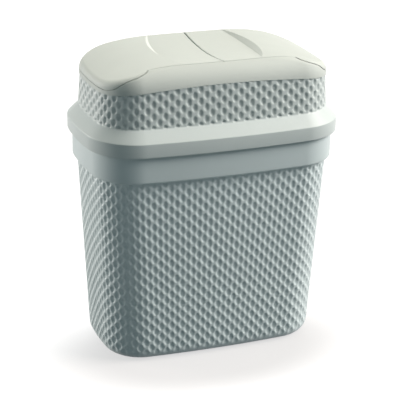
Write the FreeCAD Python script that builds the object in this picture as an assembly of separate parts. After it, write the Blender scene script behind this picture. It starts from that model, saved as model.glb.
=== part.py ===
import FreeCAD
import Part

import math
import os

# A trash can: a tapered body, a lift-off lid and two flaps that lift up from the lid's middle.
# Millimetres. X runs along the wide front, the front looks towards -Y, and +Z is up.
# The origin is on the surface that the can stands on, under the middle of the can.

# Plan of the lid's skirt, the widest outline of the can, with gently bowed sides
plan_width = 270.0
plan_depth = 166.0
plan_corner_radius = 52.0
front_bow_radius = 1060.0
end_bow_radius = 300.0

# Body: every inset is measured inwards from the skirt's outline
body_height = 242.0
body_wall = 2.2
floor_thickness = 2.6
wall_base_inset = 20.5
wall_top_inset = 10.0
wall_corner_radius = 41.0
base_edge_radius = 14.0
foot_width = 9.0
foot_depth = 1.6
band_inset = 4.9
band_height = 41.6
band_edge_radius = 2.6

# Lid ring: skirt, sloping shoulder, spigot inside the body's mouth, and dome wall
skirt_wall = 2.0
skirt_drop = 12.5
skirt_rise = 1.5
spigot_clearance = 0.5
spigot_wall = 1.8
spigot_depth = 11.0
dome_wall = 2.2
dome_base_inset = 11.2
shoulder_rise = 11.4
dome_top_inset = 13.2
dome_rise = 40.1
shoulder_edge_radius = 1.6

# Joint between the dome wall and the top frame: an arch, high in the middle of the front
arch_radius = 868.0
frame_overhang = 0.7
frame_fit = 0.25
frame_spigot_wall = 2.0
frame_spigot_depth = 10.0

# Rounded cap that the top frame and the two flaps make together
cap_rise = 19.2
cap_side_drop = 5.5
cap_side_sweep_degrees = 58.0
cap_side_overrun_degrees = 4.6
cap_side_steps = 7
cap_fall_run = 95.0
cap_fall_radius = 195.0
cap_edge_radius = 8.0
cap_wall = 2.2

# Seam between a cheek of the top frame and a flap, as seen from the front:
# shares of its run towards the end, and of the height from the border up to the cap's top,
# with a first point above the cap so that the seam runs out through its rounded edge
border_rise = 1.3
seam_end_inset = 17.0
seam_run = 48.0
seam_shares = [(0.0, 1.15), (0.437, 0.86), (0.687, 0.7), (0.833, 0.36), (1.0, 0.0)]
cheek_lap = 0.83
flap_clearance = 0.45

# Shallow dish in the middle of the top, crossed by the split between the flaps
dish_depth = 4.6
dish_end_inset = 80.0
dish_end_crown = 14.5
dish_edge_gap = 0.7
dish_wall_slope_degrees = 35.0
split_gap = 1.2
split_edge_radius = 1.0

# Hinges: one pin at the front and one at the back of each flap
hinge_offset = 14.0
hinge_drop = 4.9
pin_radius = 1.6
pin_running_clearance = 0.05
pin_reach = 8.2
pin_seat_depth = 3.0
boss_radius = 3.2
boss_length = 9.0
boss_gap = 0.8
socket_boss_radius = 3.4

# Cuts run past the faces that they open by this much
overrun = 5.0

# Edges nearer than this to a wanted place are taken to lie there
match_tolerance = 0.005

half_width = plan_width / 2
half_depth = plan_depth / 2

# Heights, from the body's rim up
band_bottom = body_height - band_height
skirt_bottom = body_height - skirt_drop
skirt_top = body_height + skirt_rise
dome_base_height = skirt_top + shoulder_rise
arch_height = dome_base_height + dome_rise
cap_side_base = arch_height - cap_side_drop
border_height = cap_side_base + border_rise
cap_height = arch_height + cap_rise
hinge_height = cap_height - hinge_drop

# The cap's side turns inwards from the dome's outline and meets the top at the end of its sweep
cap_side_inset = dome_top_inset - frame_overhang
cap_side_sweep = math.radians(cap_side_sweep_degrees)
cap_side_radius = (cap_height - cap_side_base) / math.sin(cap_side_sweep)
cheek_inset = cap_side_inset + cap_side_radius * (1 - math.cos(cap_side_sweep)) - cheek_lap
cheek_face = half_depth - cheek_inset

# Places along the front that keep their distance from the ends
cap_flat_half = half_width - cap_fall_run
seam_end = half_width - seam_end_inset
cheek_half = seam_end - seam_run
dish_half_length = half_width - dish_end_inset
dish_half_depth = cheek_face - dish_edge_gap
pin_inner_end = cheek_face - pin_reach


def arc(start, middle, end):
    return Part.Arc(start, middle, end).toShape()


def line(start, end):
    return Part.LineSegment(start, end).toShape()


def outline(inset, height, corner=None):
    """Closed plan outline: four bowed sides and four corners, each tangent to its neighbours."""
    width, depth = half_width - inset, half_depth - inset
    corner = plan_corner_radius - inset if corner is None else corner
    front, end = front_bow_radius - inset, end_bow_radius - inset
    front_y, end_x = depth - front, width - end
    reach_front, reach_end = front - corner, end - corner
    span = math.hypot(end_x, front_y)
    along = (reach_front ** 2 - reach_end ** 2 + span ** 2) / (2 * span)
    across = math.sqrt(reach_front ** 2 - along ** 2)
    unit_x, unit_y = end_x / span, -front_y / span
    centre_x = along * unit_x + across * unit_y
    centre_y = front_y + along * unit_y - across * unit_x
    front_angle = math.atan2(centre_y - front_y, centre_x)
    end_angle = math.atan2(centre_y, centre_x - end_x)
    middle_angle = (front_angle + end_angle) / 2

    def corner_point(angle):
        return centre_x + corner * math.cos(angle), centre_y + corner * math.sin(angle)

    def at(point, side_x, side_y):
        return FreeCAD.Vector(side_x * point[0], side_y * point[1], height)

    front_join, bend, end_join = (corner_point(a) for a in (front_angle, middle_angle, end_angle))
    front_middle, end_middle = (0, depth), (width, 0)
    edges = [
        arc(at(front_join, -1, 1), at(front_middle, 1, 1), at(front_join, 1, 1)),
        arc(at(front_join, 1, 1), at(bend, 1, 1), at(end_join, 1, 1)),
        arc(at(end_join, 1, 1), at(end_middle, 1, 1), at(end_join, 1, -1)),
        arc(at(end_join, 1, -1), at(bend, 1, -1), at(front_join, 1, -1)),
        arc(at(front_join, 1, -1), at(front_middle, 1, -1), at(front_join, -1, -1)),
        arc(at(front_join, -1, -1), at(bend, -1, -1), at(end_join, -1, -1)),
        arc(at(end_join, -1, -1), at(end_middle, -1, 1), at(end_join, -1, 1)),
        arc(at(end_join, -1, 1), at(bend, -1, 1), at(front_join, -1, 1)),
    ]
    return Part.Wire(edges)


def stack(levels, corner=None):
    """Solid with straight sides between outlines, given as (inset, height) from the bottom up."""
    return Part.makeLoft([outline(inset, height, corner) for inset, height in levels], True, True)


def same(value, wanted):
    return abs(value - wanted) < match_tolerance


def edges_at(shape, height):
    """Edges that lie wholly at one height."""
    return [e for e in shape.Edges if same(e.BoundBox.ZMin, height) and same(e.BoundBox.ZMax, height)]


def cylinder_along_y(radius, x, z, start, end):
    length = abs(end - start)
    foot = FreeCAD.Vector(x, min(start, end), z)
    return Part.makeCylinder(radius, length, foot, FreeCAD.Vector(0, 1, 0))


def along_y(edges):
    """Solid with the given front-view outline, running through the whole depth."""
    face = Part.Face(Part.Wire(edges))
    run = half_depth + overrun
    face.translate(FreeCAD.Vector(0, -run, 0))
    return face.extrude(FreeCAD.Vector(0, 2 * run, 0))


def front_point(x, z):
    return FreeCAD.Vector(x, 0, z)


def save(node, shape):
    shape = shape.removeSplitter()
    print(node, "solids", len(shape.Solids), "valid", shape.isValid(), "volume", round(shape.Volume, 1))
    shape.exportStep(os.path.join("parts", node + ".step"))


def make_body():
    """Tapered bucket with a rounded base edge and a plain band that steps out round its mouth."""
    taper = (wall_base_inset - wall_top_inset) / band_bottom

    def wall_at(height, inwards):
        return wall_base_inset - taper * height + inwards, height

    ledge_top = band_bottom + body_wall
    outer = stack([wall_at(0, 0), wall_at(ledge_top, 0)], wall_corner_radius)
    outer = outer.makeFillet(base_edge_radius, edges_at(outer, 0))
    band = stack([(band_inset, band_bottom), (band_inset, body_height)])
    band = band.makeFillet(band_edge_radius, edges_at(band, band_bottom))
    inner_bottom = wall_at(floor_thickness, body_wall)
    inner_top = wall_at(ledge_top + overrun, body_wall)
    inner = stack([inner_bottom, inner_top], wall_corner_radius - body_wall)
    inner = inner.makeFillet(base_edge_radius - body_wall, edges_at(inner, floor_thickness))
    mouth_inset = band_inset + body_wall
    mouth = stack([(mouth_inset, ledge_top), (mouth_inset, body_height + overrun)])
    foot_inset = wall_base_inset + base_edge_radius + foot_width
    foot_corner = wall_corner_radius - base_edge_radius - foot_width
    recess = stack([(foot_inset, -overrun), (foot_inset, foot_depth)], foot_corner)
    pad_inset = foot_inset - floor_thickness
    pad_top = floor_thickness + foot_depth
    pad_corner = foot_corner + floor_thickness
    floor_pad = stack([(pad_inset, floor_thickness / 2), (pad_inset, pad_top)], pad_corner)
    body = outer.fuse(band).cut(inner).cut(mouth)
    return body.fuse(floor_pad).cut(recess)


def arch_block(lift):
    """Space under the arch between the dome wall and the top frame, raised by a lift."""
    edge_drop = arch_radius - math.sqrt(arch_radius ** 2 - half_width ** 2)
    crown = front_point(0, arch_height + lift)
    left = front_point(-half_width, arch_height + lift - edge_drop)
    right = front_point(half_width, arch_height + lift - edge_drop)
    low_left, low_right = front_point(-half_width, 0), front_point(half_width, 0)
    return along_y([
        arc(left, crown, right),
        line(right, low_right),
        line(low_right, low_left),
        line(low_left, left),
    ])


def make_lid_ring():
    """Skirt over the body's band, sloping shoulder, spigot in the body's mouth, and dome wall."""
    dome_lean = (dome_top_inset - dome_base_inset) / (arch_height - dome_base_height)
    top = arch_height + overrun
    outer = stack([
        (0, skirt_bottom),
        (0, skirt_top),
        (dome_base_inset, dome_base_height),
        (dome_top_inset + dome_lean * overrun, top),
    ])
    outer = outer.makeFillet(shoulder_edge_radius, edges_at(outer, skirt_top))
    spigot_outer = band_inset + body_wall + spigot_clearance
    spigot_inner = spigot_outer + spigot_wall
    spigot_bottom = body_height - spigot_depth
    channel = stack([(skirt_wall, skirt_bottom - overrun), (skirt_wall, body_height)])
    channel = channel.cut(stack([(spigot_outer, spigot_bottom), (spigot_outer, body_height + overrun)]))
    dome_inner = dome_base_inset + dome_wall
    inner_slope_start = dome_base_height - (dome_inner - spigot_inner) - dome_wall / 2
    hollow = stack([
        (spigot_inner, skirt_bottom - overrun),
        (spigot_inner, inner_slope_start),
        (dome_inner, dome_base_height - dome_wall / 2),
        (dome_top_inset + dome_wall + dome_lean * overrun, top),
    ])
    return outer.cut(channel).cut(hollow).common(arch_block(0))


def cap_side(inwards):
    """Solid inside the cap's rounded side, drawn in by a wall thickness; its top is left flat."""
    radius = cap_side_radius - inwards
    sweep = cap_side_sweep + math.radians(cap_side_overrun_degrees)
    low = arch_height - overrun - frame_spigot_depth
    straight = stack([(cap_side_inset + inwards, low), (cap_side_inset + inwards, cap_side_base)])
    sections = []
    for step in range(cap_side_steps):
        angle = sweep * step / (cap_side_steps - 1)
        inset = cap_side_inset + cap_side_radius - radius * math.cos(angle)
        sections.append(outline(inset, cap_side_base + radius * math.sin(angle)))
    return straight.fuse(Part.makeLoft(sections, True, False)).removeSplitter()


def roof_level(x):
    """Height of the cap's top: level in the middle, falling in an arc towards both ends."""
    reach = max(abs(x) - cap_flat_half, 0)
    return cap_height - cap_fall_radius + math.sqrt(cap_fall_radius ** 2 - reach ** 2)


def cap_roof(drop):
    """Space under the top of the cap, lowered by a drop."""
    def roof_point(x):
        return front_point(x, roof_level(x) - drop)

    bend_x = (cap_flat_half + half_width) / 2
    left_end, right_end = roof_point(-half_width), roof_point(half_width)
    left_flat, right_flat = roof_point(-cap_flat_half), roof_point(cap_flat_half)
    left_bend, right_bend = roof_point(-bend_x), roof_point(bend_x)
    low_left, low_right = front_point(-half_width, 0), front_point(half_width, 0)
    return along_y([
        arc(left_end, left_bend, left_flat),
        line(left_flat, right_flat),
        arc(right_flat, right_bend, right_end),
        line(right_end, low_right),
        line(low_right, low_left),
        line(low_left, left_end),
    ])


def make_cap():
    """Outer form of the cap, with the edge round its top rounded."""
    sharp = cap_side(0).common(cap_roof(0))
    rim = []
    for edge in sharp.Edges:
        middle = edge.valueAt((edge.FirstParameter + edge.LastParameter) / 2)
        if same(middle.z, roof_level(middle.x)) and not isinstance(edge.Curve, Part.Line):
            rim.append(edge)
    return sharp.makeFillet(cap_edge_radius, rim)


def dish(drop, grow):
    """Space of the dish: a barrel outline with sloping end walls over a floor hollowed front to back."""
    floor_radius = (dish_half_depth ** 2 + dish_depth ** 2) / (2 * dish_depth)
    spread = 1 / math.tan(math.radians(dish_wall_slope_degrees))
    reach = cheek_face

    def barrel(height):
        middle = dish_half_length + grow + (height - cap_height + drop) * spread
        end = middle - dish_end_crown * (reach / dish_half_depth) ** 2
        right = [FreeCAD.Vector(x, y, height) for x, y in ((end, -reach), (middle, 0), (end, reach))]
        left = [FreeCAD.Vector(-p.x, p.y, p.z) for p in reversed(right)]
        return Part.Wire([arc(*right), line(right[2], left[0]), arc(*left), line(left[2], right[0])])

    low = cap_height - drop - 2 * dish_depth
    high = cap_height + overrun
    space = Part.makeLoft([barrel(low), barrel(high)], True, True)
    axis_height = cap_height - drop - dish_depth + floor_radius
    start = FreeCAD.Vector(-half_width, 0, axis_height)
    return space.common(Part.makeCylinder(floor_radius, plan_width, start, FreeCAD.Vector(1, 0, 0)))


def below_seam(clearance):
    """Space of the top frame: under its border and inside its front and back cheeks."""
    crest = cap_height + overrun
    side = []
    for along_share, up_share in seam_shares:
        x = cheek_half + seam_run * along_share
        z = border_height + (roof_level(x) - border_height) * up_share
        side.append((x + clearance, z + clearance))

    def seam(sign):
        curve = Part.BSplineCurve()
        points = [front_point(sign * x, z) for x, z in side]
        curve.interpolate(Points=points, FinalTangent=FreeCAD.Vector(sign, 0, 0))
        return curve.toShape()

    far = half_width + overrun
    low = -overrun
    (top_x, top_z), (end_x, end_z) = side[0], side[-1]
    profile = [
        line(front_point(-top_x, crest), front_point(top_x, crest)),
        line(front_point(top_x, crest), front_point(top_x, top_z)),
        seam(1),
        line(front_point(end_x, end_z), front_point(far, end_z)),
        line(front_point(far, end_z), front_point(far, low)),
        line(front_point(far, low), front_point(-far, low)),
        line(front_point(-far, low), front_point(-far, end_z)),
        line(front_point(-far, end_z), front_point(-end_x, end_z)),
        seam(-1),
        line(front_point(-top_x, top_z), front_point(-top_x, crest)),
    ]
    edges = Part.sortEdges(profile)[0]
    middle = stack([(cheek_inset + clearance, low), (cheek_inset + clearance, crest + overrun)])
    return along_y(edges).cut(middle)


def make_pin(side, end):
    """Pin pressed into a cheek of the top frame; a boss of the flap turns on its inner end."""
    depth = cheek_face + pin_seat_depth
    return cylinder_along_y(pin_radius, side * hinge_offset, hinge_height, end * pin_inner_end, end * depth)


def make_top_frame(cap, hollow):
    """Ring that plugs into the dome, with a cheek at the front and back that carries the hinge pins."""
    shell = cap.cut(hollow).common(below_seam(0)).cut(arch_block(0))
    plug_outer = dome_top_inset + dome_wall + frame_fit
    plug_inner = plug_outer + frame_spigot_wall
    bore = stack([(plug_inner, dome_base_height), (plug_inner, cap_height)])
    shelf = cap.cut(bore).common(arch_block(cap_wall)).cut(arch_block(0))
    plug_band = arch_block(cap_wall / 2).cut(arch_block(-frame_spigot_depth))
    plug = stack([(plug_outer, dome_base_height), (plug_outer, cap_height)]).cut(bore).common(plug_band)
    frame = shell.fuse([shelf, plug])
    for side in (-1, 1):
        for end in (-1, 1):
            x = side * hinge_offset
            boss = cylinder_along_y(socket_boss_radius, x, hinge_height, end * cheek_face, end * half_depth)
            frame = frame.fuse(boss.common(cap)).cut(make_pin(side, end))
    return frame


def round_split_edge(flap, side):
    """Rounds the upper long edge of the flap where it faces the other flap."""
    face_x = side * split_gap / 2
    long_edges = []
    for edge in flap.Edges:
        box = edge.BoundBox
        if same(box.XMin, face_x) and same(box.XMax, face_x) and box.YLength > half_depth:
            long_edges.append(edge)
    upper = max(long_edges, key=lambda edge: edge.CenterOfMass.z)
    return flap.makeFillet(split_edge_radius, [upper])


def make_flap(cap, hollow, side):
    """Half of the cap's top with its turned-down lip and the two hinge bosses under its inner edge."""
    shell = cap.cut(dish(0, 0)).cut(hollow.cut(dish(cap_wall, cap_wall))).cut(below_seam(flap_clearance))
    reach = half_width + overrun
    low = FreeCAD.Vector(split_gap / 2 if side > 0 else -reach, -half_depth, 0)
    half = Part.makeBox(reach - split_gap / 2, plan_depth, cap_height + overrun, low)
    flap = round_split_edge(shell.common(half), side)
    outer_end = cheek_face - boss_gap
    inner_end = outer_end - boss_length
    bore_start = pin_inner_end - boss_gap
    bore_end = outer_end + overrun
    bore_radius = pin_radius + pin_running_clearance
    x = side * hinge_offset
    for end in (-1, 1):
        boss = cylinder_along_y(boss_radius, x, hinge_height, end * inner_end, end * outer_end)
        bore = cylinder_along_y(bore_radius, x, hinge_height, end * bore_start, end * bore_end)
        flap = flap.fuse(boss).cut(bore)
    return flap


os.makedirs("parts", exist_ok=True)
save("body_shell", make_body())
save("lid_ring", make_lid_ring())
cap = make_cap()
hollow = cap_side(cap_wall).common(cap_roof(cap_wall))
save("top_frame", make_top_frame(cap, hollow))
for side, side_name in ((-1, "left"), (1, "right")):
    save("flap_" + side_name, make_flap(cap, hollow, side))
    for end, end_name in ((-1, "front"), (1, "back")):
        save("hinge_pin_" + side_name + "_" + end_name, make_pin(side, end))
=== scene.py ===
import math

import bpy
import numpy as np
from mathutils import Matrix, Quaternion, Vector


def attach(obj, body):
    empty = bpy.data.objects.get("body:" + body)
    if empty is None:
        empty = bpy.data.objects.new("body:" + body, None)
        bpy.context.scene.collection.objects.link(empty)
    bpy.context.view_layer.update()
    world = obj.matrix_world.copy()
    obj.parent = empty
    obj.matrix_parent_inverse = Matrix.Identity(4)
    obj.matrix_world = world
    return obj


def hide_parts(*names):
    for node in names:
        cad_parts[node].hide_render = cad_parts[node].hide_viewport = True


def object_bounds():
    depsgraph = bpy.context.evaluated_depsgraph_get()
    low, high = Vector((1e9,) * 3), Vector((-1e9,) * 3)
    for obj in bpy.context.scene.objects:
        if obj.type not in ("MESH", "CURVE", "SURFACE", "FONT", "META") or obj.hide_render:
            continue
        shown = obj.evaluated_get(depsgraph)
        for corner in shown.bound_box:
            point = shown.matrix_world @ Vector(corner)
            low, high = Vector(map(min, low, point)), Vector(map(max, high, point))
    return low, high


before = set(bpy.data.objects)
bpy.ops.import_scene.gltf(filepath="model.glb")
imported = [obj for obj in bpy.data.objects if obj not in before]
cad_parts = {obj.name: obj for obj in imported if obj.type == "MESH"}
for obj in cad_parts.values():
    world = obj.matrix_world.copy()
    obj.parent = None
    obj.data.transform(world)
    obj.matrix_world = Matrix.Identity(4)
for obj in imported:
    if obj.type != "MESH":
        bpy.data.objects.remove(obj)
cad_low, cad_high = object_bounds()

# A moulded trash can with dimpled walls, a lift-off lid and two flaps.
# Metres. X runs along the wide front, the front looks towards -Y, and +Z is up.
# Every inset is measured inwards from the outline of the lid's skirt, the widest one.

# Plan outline
plan_width = cad_high.x - cad_low.x
plan_depth = cad_high.y - cad_low.y
plan_corner_radius = 0.052
front_bow_radius = 1.060
end_bow_radius = 0.300

# Body
body_height = 0.242
body_wall = 0.0022
floor_thickness = 0.0026
wall_base_inset = 0.0205
wall_top_inset = 0.010
wall_corner_radius = 0.041
base_edge_radius = 0.014
foot_width = 0.009
foot_depth = 0.0016
band_inset = 0.0049
band_height = 0.0416
band_edge_radius = 0.0026
rim_edge_radius = 0.0007
band_bottom = body_height - band_height

# Lid ring
skirt_wall = 0.002
skirt_drop = 0.0125
skirt_rise = 0.0015
spigot_clearance = 0.0005
spigot_wall = 0.0018
spigot_depth = 0.011
dome_wall = 0.0022
dome_base_inset = 0.0112
shoulder_rise = 0.0114
dome_top_inset = 0.0132
shoulder_edge_radius = 0.0016
skirt_edge_radius = 0.0006
dome_rise = 0.0401
arch_radius = 0.868
skirt_bottom = body_height - skirt_drop
skirt_top = body_height + skirt_rise
dome_base_height = skirt_top + shoulder_rise
arch_height = dome_base_height + dome_rise

# Dimples: staggered rows of upright ovals that meet in thin slanting ridges
dimple_columns = 58
dimple_samples = 12
dimple_column_offset = 0.116
dimple_depth = 0.0014
dimple_wall_power = 3
dimple_snap_share = 0.13
body_dimple_half = (0.0029, 0.0046)
body_row_pitch = 0.0059
body_first_row = 0.0155
body_fade_start = 0.0050
body_fade_end = 0.0140
dome_dimple_half = (0.0028, 0.0042)
dome_row_pitch = 0.00605
dome_first_row = 0.2609
dome_fade_height = 0.0010
shoulder_strip = 0.0005

# Shading and rounding of the meshes
sharp_angle_degrees = 75.0
edge_steps = 4
fillet_steps = 12

# Plastic: cloudiness of colour and gloss, fine grain, colours, and painted shade in the dimples
specular_level = 0.35
cloud_scale = 18
cloud_detail = 3
cloud_shares = (0.95, 1.03)
gloss_scale = 45
gloss_detail = 4
gloss_swing = 0.05
noise_low, noise_high = 0.3, 0.7
grain_scale = 1400
grain_detail = 2
grain_strength = 0.12
grain_height = 0.0002
body_colour = (0.63, 0.70, 0.705)
lid_colour = (0.60, 0.65, 0.64)
cap_colour = (0.615, 0.645, 0.61)
pin_colour = (0.50, 0.54, 0.52)
wall_roughness = 0.42
cap_roughness = 0.60
pin_roughness = 0.45
# Painted shade: share of the colour left at the bottom of each dimple, for the body and the lid
body_painted_dimple_shade_share = 0.97
lid_painted_dimple_shade_share = 0.9

# Floor and background: painted shade, a grey tone on the floor under the can that fades to white; the lamps'
# shadows also show through it
white_colour = (1, 1, 1, 1)
floor_half_size = 20.0
floor_bounce_colour = (0.13, 0.16, 0.175, 1)
floor_seen_colour = (0.20, 0.188, 0.185, 1)
# Painted shade on the floor: its centre, its reach, the shares of the reach where it starts and stops fading,
# and the white glow left under the can
painted_floor_shade_centre = (-0.01, -0.045, 0)
painted_floor_shade_reach = (0.11, 0.07, 1)
painted_floor_shade_start = 0.9
painted_floor_shade_end = 1.85
painted_floor_shade_glow = 0.64
ambient_colour = (0.62, 0.93, 1.0, 1)
ambient_strength = 0.14

# Lights: direction towards each, strength, spread in degrees and colour
lights = {
    "right light": ((0.78, -0.285, 0.56), 4.0, 36, (1.0, 0.96, 0.92)),
    "left back light": ((-0.74, 0.64, 0.16), 2.5, 24, (1.0, 0.96, 0.91)),
    "top light": ((0.20, 0.05, 0.98), 0.85, 40, (1.0, 0.90, 0.70)),
}

# Camera, as the photograph was taken
camera_azimuth_degrees = -21.05
camera_elevation_degrees = 21.07
camera_roll_degrees = 1.0
camera_distance = 1.6409
camera_target = Vector((-0.0005, 0, 0.1474))
camera_sensor = 36.0
camera_focal_px = 1566.06
photo_width_px = 400

half_width = plan_width / 2
half_depth = plan_depth / 2
columns = dimple_columns * dimple_samples


def plan_arcs(inset, corner):
    """Centres, radii and joining angles of the arcs of a quarter of the outline, in its first quadrant."""
    front, end = front_bow_radius - inset, end_bow_radius - inset
    front_y, end_x = half_depth - inset - front, half_width - inset - end
    reach_front, reach_end = front - corner, end - corner
    span = np.hypot(end_x, front_y)
    along = (reach_front ** 2 - reach_end ** 2 + span ** 2) / (2 * span)
    across = np.sqrt(reach_front ** 2 - along ** 2)
    unit_x, unit_y = end_x / span, -front_y / span
    corner_x = along * unit_x + across * unit_y
    corner_y = front_y + along * unit_y - across * unit_x
    front_angle = np.arctan2(corner_y - front_y, corner_x)
    end_angle = np.arctan2(corner_y, corner_x - end_x)
    zero = np.zeros_like(front_angle)
    centres = [(zero, front_y), (corner_x, corner_y), (end_x, zero)]
    return centres, [front, corner, end], [zero + math.pi / 2, front_angle, end_angle, zero]


def quarter_knots():
    """Shares of a quarter outline at which its arcs join, at the middle of the wall."""
    middle_inset = np.array((wall_base_inset + wall_top_inset) / 2)
    centres, radii, angles = plan_arcs(middle_inset, np.array(wall_corner_radius))
    lengths = [float(r * (a - b)) for r, a, b in zip(radii, angles, angles[1:])]
    return [0, lengths[0] / sum(lengths), (lengths[0] + lengths[1]) / sum(lengths), 1]


knots = quarter_knots()
even_shares = np.arange(columns) / columns


def plan_points(share, inset, corner):
    """Points of the outline and its outward normals, anticlockwise from the middle of the front."""
    share = np.mod(share, 1)
    inset, corner = np.broadcast_to(inset, share.shape), np.broadcast_to(corner, share.shape)
    centres, radii, angles = plan_arcs(inset, corner)
    quarter = np.floor(share * 4).astype(int)
    local = share * 4 - quarter
    local = np.where(quarter % 2 == 0, local, 1 - local)
    x, y, normal_x, normal_y = (np.zeros_like(share) for _ in range(4))
    for piece in range(3):
        low, high = knots[piece], knots[piece + 1]
        here = (local >= low) & (local <= high)
        angle = angles[piece] + (angles[piece + 1] - angles[piece]) * (local - low) / (high - low)
        x = np.where(here, centres[piece][0] + radii[piece] * np.cos(angle), x)
        y = np.where(here, centres[piece][1] + radii[piece] * np.sin(angle), y)
        normal_x = np.where(here, np.cos(angle), normal_x)
        normal_y = np.where(here, np.sin(angle), normal_y)
    side_x = np.where(quarter < 2, 1, -1)
    side_y = np.where((quarter == 0) | (quarter == 3), -1, 1)
    return np.stack([x * side_x, y * side_y], 1), np.stack([normal_x * side_x, normal_y * side_y], 1)


class Rows:
    """Rows of points round the can, from which a mesh is made."""

    def __init__(self):
        self.points, self.hollows = [], []

    def add(self, inset, height, corner=None, hollow=0, share=None):
        """One row; a value may differ by column, and hollow sinks the points into the wall."""
        share = even_shares if share is None else share
        corner = plan_corner_radius - inset if corner is None else corner
        hollow = np.broadcast_to(hollow, share.shape)
        point, normal = plan_points(share, inset, corner)
        heights = np.broadcast_to(height, share.shape)
        self.points.append(np.column_stack([point - normal * hollow[:, None], heights]))
        self.hollows.append(hollow)


def dimpled(height, first_row, row_pitch, across_pitch, half, snap):
    """Shares and heights of one row's points, drawn to the nearest rim, and how deep they lie."""
    height = np.broadcast_to(height, even_shares.shape)
    column = even_shares * dimple_columns - dimple_column_offset
    row = (height - first_row) / row_pitch
    reach = np.full(columns, np.inf)
    across, up = np.zeros(columns), np.zeros(columns)
    for step in range(-1, 3):
        centre_row = np.floor(row) + step
        shift = (centre_row % 2) / 2
        centre_column = np.round(column - shift) + shift
        this_across = (column - centre_column) * across_pitch
        this_up = (row - centre_row) * row_pitch
        this_reach = np.hypot(this_across / half[0], this_up / half[1])
        nearer = this_reach < reach
        across, up = np.where(nearer, this_across, across), np.where(nearer, this_up, up)
        reach = np.where(nearer, this_reach, reach)
    near_rim = (np.abs(reach - 1) < dimple_snap_share) & snap
    pull = np.where(near_rim, 1 / np.maximum(reach, dimple_snap_share), 1)
    share = even_shares + (pull - 1) * across / across_pitch / dimple_columns
    hollow = dimple_depth * (1 - np.clip(reach * pull, 0, 1) ** dimple_wall_power)
    return share, height + (pull - 1) * up, hollow


def perimeter(inset, corner):
    point = plan_points(even_shares, inset, corner)[0]
    return np.linalg.norm(point - np.roll(point, 1, axis=0), axis=1).sum()


def smooth_step(low, high, value):
    share = np.clip((value - low) / (high - low), 0, 1)
    return share * share * (3 - 2 * share)


def make_mesh(name, rows, closed):
    """Mesh through rows of points; it closes on itself, or its first and last rows are filled."""
    count = len(rows.points)
    vertices = np.concatenate(rows.points)
    depth = np.concatenate(rows.hollows)
    column = np.arange(columns)
    following = (column + 1) % columns
    faces = []
    for row in range(count if closed else count - 1):
        low, high = row * columns, (row + 1) % count * columns
        a, b, c, d = low + column, low + following, high + following, high + column
        falling = depth[a] + depth[c] > depth[b] + depth[d]
        first = np.where(falling[:, None], np.stack([a, b, d], 1), np.stack([a, b, c], 1))
        second = np.where(falling[:, None], np.stack([b, c, d], 1), np.stack([a, c, d], 1))
        faces.extend(first.tolist())
        faces.extend(second.tolist())
    if not closed:
        faces.append(column[::-1].tolist())
        faces.append(((count - 1) * columns + column).tolist())
    mesh = bpy.data.meshes.new(name)
    mesh.from_pydata(vertices.tolist(), [], faces)
    # The hollow attribute carries each point's dimple depth to the plastic, which paints shade with it
    attribute = mesh.attributes.new("hollow", "FLOAT", "POINT")
    attribute.data.foreach_set("value", (depth / dimple_depth).astype(np.float32))
    mesh.shade_smooth()
    mesh.set_sharp_from_angle(angle=math.radians(sharp_angle_degrees))
    mesh.update()
    piece = bpy.data.objects.new(name, mesh)
    bpy.context.scene.collection.objects.link(piece)
    return piece


def rounded(inset, height, radius, start_degrees, end_degrees, steps):
    """Profile points of a quarter round, as (inset, height) pairs; 0 degrees points outwards."""
    angles = np.radians(np.linspace(start_degrees, end_degrees, steps + 1))
    return [(inset - radius * math.cos(a), height + radius * math.sin(a)) for a in angles]


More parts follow.
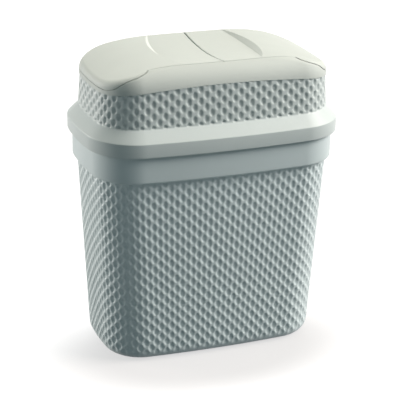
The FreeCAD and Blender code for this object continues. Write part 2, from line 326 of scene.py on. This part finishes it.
def make_body():
    """Tapered bucket with a rounded base edge, dimpled walls and a plain band round its mouth."""
    taper = (wall_base_inset - wall_top_inset) / band_bottom
    lean_degrees = math.degrees(math.atan(taper))

    def wall_inset(height):
        return wall_base_inset - taper * height

    def fillet(radius, bottom, inwards):
        stretch = math.hypot(1, taper)
        centre = wall_inset(bottom + radius) + inwards + radius * stretch
        return rounded(centre, bottom + radius, radius, -90, -lean_degrees, fillet_steps)

    rows = Rows()

    def add_dimpled(inset, height, corner, snap=True):
        across_pitch = perimeter(inset, corner) / dimple_columns
        share, heights, hollow = dimpled(
            height, body_first_row, body_row_pitch, across_pitch, body_dimple_half, snap)
        insets = inset - taper * (heights - height)
        rows.add(insets, heights, corner, hollow * smooth_step(body_fade_start, body_fade_end, height), share)

    foot_inset = wall_base_inset + base_edge_radius + foot_width
    foot_corner = wall_corner_radius - base_edge_radius - foot_width
    rows.add(foot_inset, foot_depth, foot_corner)
    rows.add(foot_inset, 0, foot_corner)
    base = fillet(base_edge_radius, 0, 0)
    for inset, height in base:
        add_dimpled(inset, height, wall_corner_radius - (inset - wall_inset(height)), snap=False)
    wall_start = base[-1][1]
    steps = round((band_bottom - wall_start) / (2 * body_row_pitch / dimple_samples))
    for height in np.linspace(wall_start, band_bottom, steps + 1)[1:]:
        add_dimpled(wall_inset(height), height, wall_corner_radius, snap=height < band_bottom)
    band_middle = band_bottom + band_edge_radius
    band_edge = rounded(band_inset + band_edge_radius, band_middle, band_edge_radius, -90, 0, edge_steps)
    for inset, height in band_edge:
        rows.add(inset, height)
    mouth_inset = band_inset + body_wall
    rim_middle = body_height - rim_edge_radius
    outer_rim = rounded(band_inset + rim_edge_radius, rim_middle, rim_edge_radius, 0, 90, edge_steps)
    inner_rim = rounded(mouth_inset - rim_edge_radius, rim_middle, rim_edge_radius, 90, 180, edge_steps)
    for inset, height in outer_rim + inner_rim:
        rows.add(inset, height)
    ledge = band_bottom + body_wall
    inner_corner = wall_corner_radius - body_wall
    rows.add(mouth_inset, ledge)
    rows.add(wall_inset(ledge) + body_wall, ledge, inner_corner)
    inside = fillet(base_edge_radius - body_wall, floor_thickness, body_wall)
    for inset, height in reversed(inside):
        rows.add(inset, height, inner_corner - (inset - wall_inset(height) - body_wall))
    pad_inset = foot_inset - floor_thickness
    pad_corner = foot_corner + floor_thickness
    rows.add(pad_inset, floor_thickness, pad_corner)
    rows.add(pad_inset, floor_thickness + foot_depth, pad_corner)
    return make_mesh("dimpled_body", rows, closed=False)


def arch(inset):
    """Height of the arch between the dome wall and the top frame, at each column."""
    x = plan_points(even_shares, inset, plan_corner_radius - inset)[0][:, 0]
    return arch_height - arch_radius + np.sqrt(arch_radius ** 2 - x ** 2)


def make_lid():
    """Skirt over the body's band, sloping shoulder, spigot in the body's mouth, and dimpled dome wall."""
    rows = Rows()
    edge = skirt_bottom + skirt_edge_radius
    for inset, height in rounded(skirt_edge_radius, edge, skirt_edge_radius, -90, 0, edge_steps):
        rows.add(inset, height)
    slope_degrees = math.degrees(math.atan2(dome_base_inset, dome_base_height - skirt_top))
    turn = math.radians(slope_degrees)
    shoulder_centre = skirt_top - shoulder_edge_radius * math.tan(turn / 2)
    shoulder = rounded(
        shoulder_edge_radius, shoulder_centre, shoulder_edge_radius, 0, slope_degrees, edge_steps)
    for inset, height in shoulder:
        rows.add(inset, height)
    shoulder_slope = (dome_base_height - skirt_top) / dome_base_inset
    rows.add(dome_base_inset - shoulder_strip, dome_base_height - shoulder_strip * shoulder_slope)
    lean = (dome_top_inset - dome_base_inset) / (arch_height - dome_base_height)
    top = arch(dome_top_inset)
    steps = round((arch_height - dome_base_height) / (2 * dome_row_pitch / dimple_samples))
    across_pitch = perimeter(dome_base_inset, plan_corner_radius - dome_base_inset) / dimple_columns
    for step in range(steps + 1):
        heights = dome_base_height + (top - dome_base_height) * step / steps
        inset = dome_base_inset + lean * (arch_height - dome_base_height) * step / steps
        inner_row = 0 < step < steps
        share, moved, hollow = dimpled(
            heights, dome_first_row, dome_row_pitch, across_pitch, dome_dimple_half, inner_row)
        hollow = hollow * smooth_step(0, dome_fade_height, heights - dome_base_height)
        rows.add(inset + lean * (moved - heights), moved, None, hollow, share)
    dome_inner = dome_base_inset + dome_wall
    rows.add(dome_top_inset + dome_wall, arch(dome_top_inset + dome_wall))
    slope_top = dome_base_height - dome_wall / 2
    rows.add(dome_inner, slope_top)
    spigot_outer = band_inset + body_wall + spigot_clearance
    spigot_inner = spigot_outer + spigot_wall
    rows.add(spigot_inner, slope_top - (dome_inner - spigot_inner))
    rows.add(spigot_inner, body_height - spigot_depth)
    rows.add(spigot_outer, body_height - spigot_depth)
    rows.add(spigot_outer, body_height)
    rows.add(skirt_wall, body_height)
    rows.add(skirt_wall, skirt_bottom)
    return make_mesh("dimpled_lid", rows, closed=True)


# Materials

def plastic(name, colour, roughness, painted_dimple_shade_share=1):
    """Satin moulded plastic: slight cloudiness in colour and gloss, over a fine moulded grain, with painted
    shade that darkens the colour towards the bottom of each dimple.
    """
    material = bpy.data.materials.new(name)
    material.use_nodes = True
    nodes, links = material.node_tree.nodes, material.node_tree.links
    shader = nodes["Principled BSDF"]
    shader.inputs["Specular IOR Level"].default_value = specular_level
    place = nodes.new("ShaderNodeTexCoord")

    def noise(scale, detail):
        node = nodes.new("ShaderNodeTexNoise")
        node.inputs["Scale"].default_value = scale
        node.inputs["Detail"].default_value = detail
        links.new(place.outputs["Object"], node.inputs["Vector"])
        return node

    def ramp(source, low, high):
        node = nodes.new("ShaderNodeMapRange")
        node.inputs["From Min"].default_value = noise_low
        node.inputs["From Max"].default_value = noise_high
        node.inputs["To Min"].default_value = low
        node.inputs["To Max"].default_value = high
        links.new(source, node.inputs["Value"])
        return node

    cloud = noise(cloud_scale, cloud_detail)
    tone = nodes.new("ShaderNodeMix")
    tone.data_type = "RGBA"
    tone.inputs["A"].default_value = (*[c * cloud_shares[0] for c in colour], 1)
    tone.inputs["B"].default_value = (*[c * cloud_shares[1] for c in colour], 1)
    links.new(cloud.outputs["Fac"], tone.inputs["Factor"])
    # Painted shade: the colour darkens towards the bottom of each dimple, by how deep the point lies
    hollow = nodes.new("ShaderNodeAttribute")
    hollow.attribute_name = "hollow"
    painted_dimple_shade = nodes.new("ShaderNodeMix")
    painted_dimple_shade.data_type = "RGBA"
    painted_dimple_shade.inputs["B"].default_value = (*[c * painted_dimple_shade_share for c in colour], 1)
    links.new(hollow.outputs["Fac"], painted_dimple_shade.inputs["Factor"])
    links.new(tone.outputs["Result"], painted_dimple_shade.inputs["A"])
    links.new(painted_dimple_shade.outputs["Result"], shader.inputs["Base Color"])
    patches = noise(gloss_scale, gloss_detail)
    gloss = ramp(patches.outputs["Fac"], roughness - gloss_swing, roughness + gloss_swing)
    links.new(gloss.outputs["Result"], shader.inputs["Roughness"])
    bump = nodes.new("ShaderNodeBump")
    bump.inputs["Strength"].default_value = grain_strength
    bump.inputs["Distance"].default_value = grain_height
    links.new(noise(grain_scale, grain_detail).outputs["Fac"], bump.inputs["Height"])
    links.new(bump.outputs["Normal"], shader.inputs["Normal"])
    return material


def dress(piece, material):
    piece.data.materials.clear()
    piece.data.materials.append(material)


body_plastic = plastic("body plastic", body_colour, wall_roughness, body_painted_dimple_shade_share)
lid_plastic = plastic("lid plastic", lid_colour, wall_roughness, lid_painted_dimple_shade_share)
cap_plastic = plastic("cap plastic", cap_colour, cap_roughness)
pin_plastic = plastic("pin plastic", pin_colour, pin_roughness)

body = make_body()
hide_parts("body_shell")
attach(body, "can")
dress(body, body_plastic)

lid = make_lid()
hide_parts("lid_ring")
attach(lid, "lid")
dress(lid, lid_plastic)

for node in ("top_frame", "flap_left", "flap_right"):
    dress(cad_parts[node], cap_plastic)
for side in ("left", "right"):
    for end in ("front", "back"):
        dress(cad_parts["hinge_pin_" + side + "_" + end], pin_plastic)


# Stage

def seen_or_mirrored(nodes, links):
    """Output that is 1 for rays that see a surface directly, in a sheen or through a clear piece."""
    path = nodes.new("ShaderNodeLightPath")
    either = nodes.new("ShaderNodeMath")
    either.operation = "MAXIMUM"
    links.new(path.outputs["Is Camera Ray"], either.inputs[0])
    links.new(path.outputs["Is Glossy Ray"], either.inputs[1])
    viewed = nodes.new("ShaderNodeMath")
    viewed.operation = "MAXIMUM"
    links.new(either.outputs["Value"], viewed.inputs[0])
    links.new(path.outputs["Is Transmission Ray"], viewed.inputs[1])
    return viewed.outputs["Value"]


def make_floor():
    """Pale floor that reads as white and keeps the can's shadow, with painted shade: a grey tone under the
    can where less white glow is added.
    """
    mesh = bpy.data.meshes.new("floor")
    reach = floor_half_size
    corners = [(-reach, -reach, 0), (reach, -reach, 0), (reach, reach, 0), (-reach, reach, 0)]
    mesh.from_pydata(corners, [], [(0, 1, 2, 3)])
    floor = bpy.data.objects.new("floor", mesh)
    bpy.context.scene.collection.objects.link(floor)
    material = bpy.data.materials.new("floor")
    material.use_nodes = True
    nodes, links = material.node_tree.nodes, material.node_tree.links
    nodes.remove(nodes["Principled BSDF"])
    viewed = seen_or_mirrored(nodes, links)
    dim = nodes.new("ShaderNodeBsdfDiffuse")
    dim.inputs["Color"].default_value = floor_bounce_colour
    bright = nodes.new("ShaderNodeBsdfDiffuse")
    bright.inputs["Color"].default_value = floor_seen_colour
    plain = nodes.new("ShaderNodeMixShader")
    links.new(viewed, plain.inputs["Fac"])
    links.new(dim.outputs["BSDF"], plain.inputs[1])
    links.new(bright.outputs["BSDF"], plain.inputs[2])
    white = nodes.new("ShaderNodeEmission")
    white.inputs["Color"].default_value = white_colour
    place = nodes.new("ShaderNodeTexCoord")
    middle = nodes.new("ShaderNodeVectorMath")
    middle.operation = "SUBTRACT"
    middle.inputs[1].default_value = painted_floor_shade_centre
    links.new(place.outputs["Object"], middle.inputs[0])
    spread = nodes.new("ShaderNodeVectorMath")
    spread.operation = "DIVIDE"
    spread.inputs[1].default_value = painted_floor_shade_reach
    links.new(middle.outputs["Vector"], spread.inputs[0])
    away = nodes.new("ShaderNodeVectorMath")
    away.operation = "LENGTH"
    links.new(spread.outputs["Vector"], away.inputs[0])
    # Painted shade: less white glow near the can, so the floor there is grey even where the lamps reach it
    painted_floor_shade_fade = nodes.new("ShaderNodeMapRange")
    painted_floor_shade_fade.interpolation_type = "SMOOTHSTEP"
    painted_floor_shade_fade.inputs["From Min"].default_value = painted_floor_shade_start
    painted_floor_shade_fade.inputs["From Max"].default_value = painted_floor_shade_end
    painted_floor_shade_fade.inputs["To Min"].default_value = painted_floor_shade_glow
    painted_floor_shade_fade.inputs["To Max"].default_value = 1.0
    links.new(away.outputs["Value"], painted_floor_shade_fade.inputs["Value"])
    glow = nodes.new("ShaderNodeMath")
    glow.operation = "MULTIPLY"
    links.new(viewed, glow.inputs[0])
    links.new(painted_floor_shade_fade.outputs["Result"], glow.inputs[1])
    links.new(glow.outputs["Value"], white.inputs["Strength"])
    both = nodes.new("ShaderNodeAddShader")
    links.new(plain.outputs["Shader"], both.inputs[0])
    links.new(white.outputs["Emission"], both.inputs[1])
    links.new(both.outputs["Shader"], nodes["Material Output"].inputs["Surface"])
    mesh.materials.append(material)


def make_world():
    """Even, slightly cool light from all round, which is white where it is seen."""
    world = bpy.data.worlds.new("studio")
    bpy.context.scene.world = world
    world.use_nodes = True
    nodes, links = world.node_tree.nodes, world.node_tree.links
    ambient = nodes["Background"]
    ambient.inputs["Color"].default_value = ambient_colour
    ambient.inputs["Strength"].default_value = ambient_strength
    white = nodes.new("ShaderNodeBackground")
    white.inputs["Color"].default_value = white_colour
    white.inputs["Strength"].default_value = 1
    mix = nodes.new("ShaderNodeMixShader")
    links.new(seen_or_mirrored(nodes, links), mix.inputs["Fac"])
    links.new(ambient.outputs["Background"], mix.inputs[1])
    links.new(white.outputs["Background"], mix.inputs[2])
    links.new(mix.outputs["Shader"], nodes["World Output"].inputs["Surface"])


def make_light(name, direction, strength, spread_degrees, colour):
    """Soft directional light from far off."""
    data = bpy.data.lights.new(name, "SUN")
    data.energy = strength
    data.angle = math.radians(spread_degrees)
    data.color = colour
    lamp = bpy.data.objects.new(name, data)
    lamp.rotation_mode = "QUATERNION"
    lamp.rotation_quaternion = Vector(direction).to_track_quat("Z", "Y")
    bpy.context.scene.collection.objects.link(lamp)


def make_camera():
    data = bpy.data.cameras.new("camera")
    data.sensor_width = camera_sensor
    data.lens = camera_focal_px / photo_width_px * camera_sensor
    camera = bpy.data.objects.new("camera", data)
    azimuth, elevation = math.radians(camera_azimuth_degrees), math.radians(camera_elevation_degrees)
    back = Vector((
        math.sin(azimuth) * math.cos(elevation),
        -math.cos(azimuth) * math.cos(elevation),
        math.sin(elevation),
    ))
    camera.location = camera_target + back * camera_distance
    camera.rotation_mode = "QUATERNION"
    roll = Quaternion((0, 0, 1), math.radians(camera_roll_degrees))
    camera.rotation_quaternion = (-back).to_track_quat("-Z", "Y") @ roll
    bpy.context.scene.collection.objects.link(camera)
    bpy.context.scene.camera = camera


make_floor()
make_world()
for light_name, light in lights.items():
    make_light(light_name, *light)
make_camera()
bpy.context.scene.view_settings.view_transform = "Standard"
